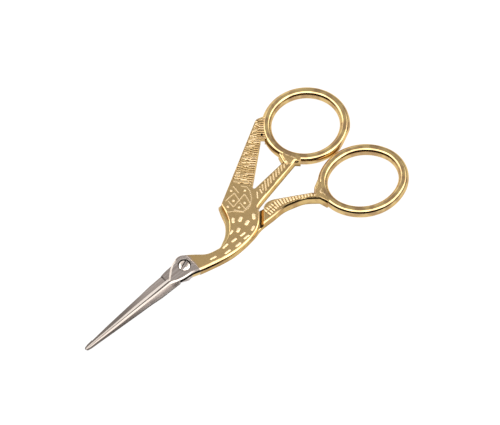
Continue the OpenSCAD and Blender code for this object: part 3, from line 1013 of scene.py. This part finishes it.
# Ornament of the upper half: x, y, length, width and turn of a dash, or the two ends of a stroke
stork = {
    "dashes": [
        (8, -4.0, 2.3, 0.68, -12), (12.6, -5.3, 2.3, 0.74, 0), (13.4, -3.4, 2.4, 0.74, 5),
        (16.6, -5.65, 2.3, 0.8, 0), (16.7, -3.65, 2.1, 0.86, 0), (20.2, -5.35, 2.3, 0.74, 0),
        (20.0, -3.9, 2.2, 0.8, 0), (17.9, -1.1, 1.9, 0.74, 20), (19.95, -1.95, 2.0, 1.15, 25),
        (23.6, -1.8, 2.2, 1.25, 20), (22.9, 0.4, 2.2, 1.25, 25), (21.05, 1.6, 2.1, 1.05, 50),
        (26.5, -1.55, 2.3, 1.25, 52), (23.6, -4.4, 2.1, 0.86, 25)],
    "dots": [(25.6, 6.5), (27.6, 3.7), (23.0, 6.1), (25.3, 3.7), (27.4, 9.5), (30.5, 6.8)],
    "dotSize": 0.95,
    "lattice": [
        (24.0, 8.1, 27.7, 8.3), (24.5, 5.0, 29.6, 6.0), (26.3, 2.0, 28.5, 2.3),
        (24.4, 7.4, 24.2, 5.0), (27.6, 8.2, 27.0, 5.3), (26.6, 4.6, 26.4, 2.0),
        (29.6, 5.8, 28.8, 2.6), (28.9, 10.3, 28.6, 7.5), (22.3, 8.0, 21.7, 5.0),
        (23.7, 4.0, 25.2, 1.6)],
    "latticeWide": 0.42,
    "wing": [
        (22.0, 4.6), (23.5, 3.6), (24.3, 2.6), (25.5, 1.8), (27.0, 1.6), (28.6, 2.2), (30.3, 3.6),
        (31.5, 5.6), (31.8, 7.4), (30.8, 8.6)],
    "wingWide": 0.5, "beads": 0.62,
    # rows of the tail run along rowTurn, a pitch apart, in columns across it
    "tailFrom": (29.55, 11.57), "tailAcross": (0.827, 0.562),
    "tailAxis": ((31, 9.8), (48.6, 21.6)), "rowTurn": -42, "rowPitch": 0.78, "rowWide": 0.52,
    "columns": (-0.78, -0.28, 0.2, 0.64), "pebble": 0.64,
    "legAxis": ((32.0, 3.3), (48.0, 6.1)), "legPitch": 0.9, "legTurn": 54, "legWide": 0.5,
    "root": [(32.9, 4.0, 31.65, 2.4), (34.1, 4.0, 33.8, 2.8)],
    "foot": [(47.87, 8.06, 48.3, 7.0), (48.67, 6.2, 49.2, 5.0), (46.5, 6.0, 46.3, 5.5)],
    "footWide": 0.45,
}


def tailHeight(x, y):
    s = stork
    along, across = alongLine(x, y, s["tailAxis"])
    half = 3.05 - 0.085 * along
    ex, ey = polar(1, s["rowTurn"])
    w = -ey * x + ex * y
    h = 0 * x
    for k, column in enumerate(s["columns"]):
        row = np.round(w / s["rowPitch"] + 0.5 * k)
        off = w - (row - 0.5 * k) * s["rowPitch"]
        middle = column * half + (jitter(row, k) - 0.5) * 0.5
        length = half * (0.32 + 0.22 * jitter(row, k + 5))
        short = across - middle
        short = short if k == 0 else np.abs(short)  # the first column runs on to the border
        past = np.maximum(short - (length - s["rowWide"] / 2), 0)
        bars = crest(np.hypot(past, off) / (s["rowWide"] / 2))
        h = np.maximum(h, bars * (0.6 + 0.4 * jitter(row, k + 9)))
    # the outer border is pebbled
    p = s["pebble"]
    edge = half - across
    row = np.round(along / p)
    pebbles = crest(np.hypot(along - row * p, edge - 0.35 - 0.22 * jitter(row, 3)) / (0.46 * p))
    h = np.maximum(np.where(edge < 0.85, 0, h), pebbles)
    h = 1.3 * h - 0.8  # partly sunk
    fx, fy = s["tailFrom"]
    past = (x - fx) * s["tailAcross"][0] + (y - fy) * s["tailAcross"][1]
    return h * (past > 0.15) * (y > 6.9 + 0.35 * (x - 32))


def storkHeight(x, y):
    s = stork
    h = 0 * x
    for dx, dy, length, wide, turn in s["dashes"]:
        h = over(h, pill(x, y, (dx, dy), length - 0.15, 0.8 * wide, turn))
    for dx, dy in s["dots"]:
        h = over(h, 0.5 * crest(np.hypot(x - dx, y - dy) / (s["dotSize"] / 2)))
    h = strokes(h, x, y, s["lattice"], s["latticeWide"], 0.36)
    along, side = alongLine(x, y, s["wing"])
    line = crest(np.abs(side) / (s["wingWide"] / 2))
    h = over(h, line * (0.3 + 0.1 * np.cos(2 * math.pi * along / s["beads"])))
    tail = tailHeight(x, y)
    h = np.where(h > 0.02, h, tail)
    along, side = alongLine(x, y, s["legAxis"])
    c, t = polar(1, s["legTurn"])
    w = t * x - c * y
    row = np.round(w / s["legPitch"])
    off = w - row * s["legPitch"]
    half = 1.35 - 0.045 * along
    reach = half * (0.62 + 0.3 * jitter(row, 2))
    past = np.maximum(np.abs(side - 0.1 * (jitter(row) - 0.5)) - reach, 0)
    bars = 0.7 * crest(np.hypot(past, off) / (s["legWide"] / 2)) - 0.28  # partly sunk
    onLeg = (along > 2.6) & (along < 14.6) & (np.abs(side) < 1.8)
    h = np.where(onLeg & ~(h > 0.02), bars, h)
    return strokes(h, x, y, s["root"] + s["foot"], s["footWide"], 0.5)


coat(upperHandle, giltBody, giltMatt, giltPaintedShade, steels["paintedShade"])
dressTop(upperHandle, handle["top"], handle["step"], upperRim, 0, 1, handle["height"], storkHeight,
         lambda x, y: intoCrest(x, y, thumbSize, handle["legMeets"]))
# painted shade on the walls under the rim near the screw, and black painted shade in the notch
for f in upperHandle.data.polygons:
    c = f.center
    if abs(f.normal.z) < 0.35 and c.y < -3 and c.x < 20 and c.z < 3.3:
        f.material_index = 2
    if (c.xy - Vector(handle["notch"][:2])).length < handle["notchRadius"] + 0.01:
        f.material_index = 3
finished(upperHandle, "upper_half", "upper_handle")


# Ornament of the lower half: bars across a line along the shank, and strokes by their ends
shank = {
    "line": [(29.7, -3.3), (34.0, -2.95), (36.4, -3.35), (38.4, -4.1), (40.7, -5.2), (43.4, -6.75),
             (45.9, -8.6)],
    "from": 0.3, "to": 17.2, "pitch": 0.93, "wide": 0.72, "footWide": 0.5,
    "foot": [(47.0, -8.6, 47.9, -8.1), (47.2, -9.6, 47.6, -11.4), (46.9, -8.9, 47.3, -9.6)],
}


def lowerRim(x, y):
    if fromMiddle(x, y, fingerSize) < handle["nearRing"]:
        return handle["none"]
    if alongLine(x, y, shank["line"])[1] < 0:
        return handle["shankLow"] if y < -5.1 else handle["shankEnd"]
    return handle["flare"] if x > 45.6 else handle["shankTop"]


def shankHeight(x, y):
    s = shank
    along, side = alongLine(x, y, s["line"])
    off = along - np.round(along / s["pitch"]) * s["pitch"]
    half = 1.5 - 0.048 * along
    past = np.maximum(np.abs(side) - (half - s["wide"] / 2), 0)
    within = (along > s["from"]) & (along < s["to"])
    h = crest(np.hypot(past, off) / (s["wide"] / 2), 0.6) * within
    h = h * (1 - 0.55 * (np.abs(side) < 0.22) * (along < 4.5))  # a furrow through the first bars
    h = np.where(within & (np.abs(side) < half), 0.95 * h - 0.5, h)
    return strokes(h, x, y, s["foot"], s["footWide"], 0.5)


lowerHandle = fromNode("lower_handle", "lowerHandle")
lowerTop(lowerHandle)
intoRing(lowerHandle, fingerSize["middle"])
chamferAt(lowerHandle, handle["ledge"], mating["lower"], 2.43, 26.5, 3)
chamferAt(lowerHandle, handle["foot"], 0, 2.43, 49.3, 3)
coat(lowerHandle, giltBody, giltMatt, giltGapShadow)
dressTop(lowerHandle, handle["top"], handle["shankStep"], lowerRim, 0, 1, handle["height"],
         shankHeight, lambda x, y: intoCrest(x, y, fingerSize, handle["shankMeets"]))
# the ledge takes painted shadow in the gap and a warm painted reflection by the shank's end
for f in lowerHandle.data.polygons:
    if f.normal.z > 0.9 and 1.7 < f.center.z < 2:
        f.material_index = 2
finished(lowerHandle, "lower_half", "lower_handle")


# Floor, light and camera

studio = {
    "floorSize": 12.0, "floorGlow": 0.97, "paper": (0.05, 0.05, 0.05, 1),
    "paperLight": (0.06, 0.06, 0.06, 1), "white": (1.0, 0.985, 0.965, 1),
    # how bright the soft sky is: overhead, beyond the object, near the horizon before it, behind it
    # and beside it
    "overhead": 4.5, "beyond": 0.66, "before": 0.02, "behind": 0.5, "side": 1.15,
    # its soft patches: toward where, and the angles at which they begin and are full
    "beyondPatch": ((0.333, 0.367, 0.869), 42, 26), "sidePatch": ((-0.1, 0.9, 0.33), 50, 34),
    "beforePatch": ((-0.78, -0.62, 0.0), 76, 58),
    # between which heights the sky turns overhead, and the dark before the object begins and ends
    "overheadFrom": (0.50, 0.64), "beforeFrom": (0.03, 0.06), "beforeTo": (0.70, 0.84),
}

deselectAll()
bpy.ops.mesh.primitive_plane_add(size=studio["floorSize"], location=(0, 0, -0.00005))
floor = nameIt("floor")
pick(floor)
bpy.ops.object.transform_apply(location=True, rotation=True, scale=True)
paper = Maker("floorPaper")
tone = paper.blend(paper.noise(3, 2), studio["paper"], studio["paperLight"])
coat(floor, paper.finish(Base_Color=tone, Roughness=0.9, Emission_Color=(1, 1, 1, 1),
                         Emission_Strength=studio["floorGlow"]))

sky = Maker("softSky", bpy.data.worlds.new("softSky"))
bpy.context.scene.world = sky.owner
way = sky.node("ShaderNodeTexCoord", out=0)
height = sky.node("ShaderNodeSeparateXYZ", None, way, out=2)


def toward(direction, outer, inner):
    d = tuple(Vector(direction).normalized())
    dot = sky.node("ShaderNodeVectorMath", {"operation": "DOT_PRODUCT"}, way, d, out=1)
    return sky.within(dot, math.cos(math.radians(outer)), math.cos(math.radians(inner)))


beyond, side = toward(*studio["beyondPatch"]), toward(*studio["sidePatch"])
high = studio["overhead"] - beyond * (studio["overhead"] - studio["beyond"])
low = side * (studio["side"] - studio["behind"]) + studio["behind"]
strength = low + sky.within(height, *studio["overheadFrom"]) * (high - low)
before = toward(*studio["beforePatch"]) * sky.within(height, *studio["beforeFrom"])
before = before * (1 - sky.within(height, *studio["beforeTo"]))
strength = strength + before * (studio["before"] - strength)
background = sky.tree.nodes["Background"].inputs
sky.plug(background["Strength"], strength)
sky.plug(background["Color"], studio["white"])

# The photo's own view, from a long way off
view = {"target": (0.02353, -0.00316, 0.01128), "back": (-0.3328, -0.3671, 0.8686), "far": 5.0,
        "width": 0.14908, "sensor": 36, "clip": 40}
deselectAll()
back = Vector(view["back"]).normalized()
bpy.ops.object.camera_add(location=Vector(view["target"]) + back * view["far"],
                          rotation=(-back).to_track_quat("-Z", "Y").to_euler())
camera = bpy.context.object
camera.data.sensor_width = view["sensor"]
camera.data.lens = view["sensor"] * view["far"] / view["width"]
camera.data.clip_end = view["clip"]
bpy.context.scene.camera = camera
bpy.context.scene.view_settings.view_transform = "Standard"
print("stage set")
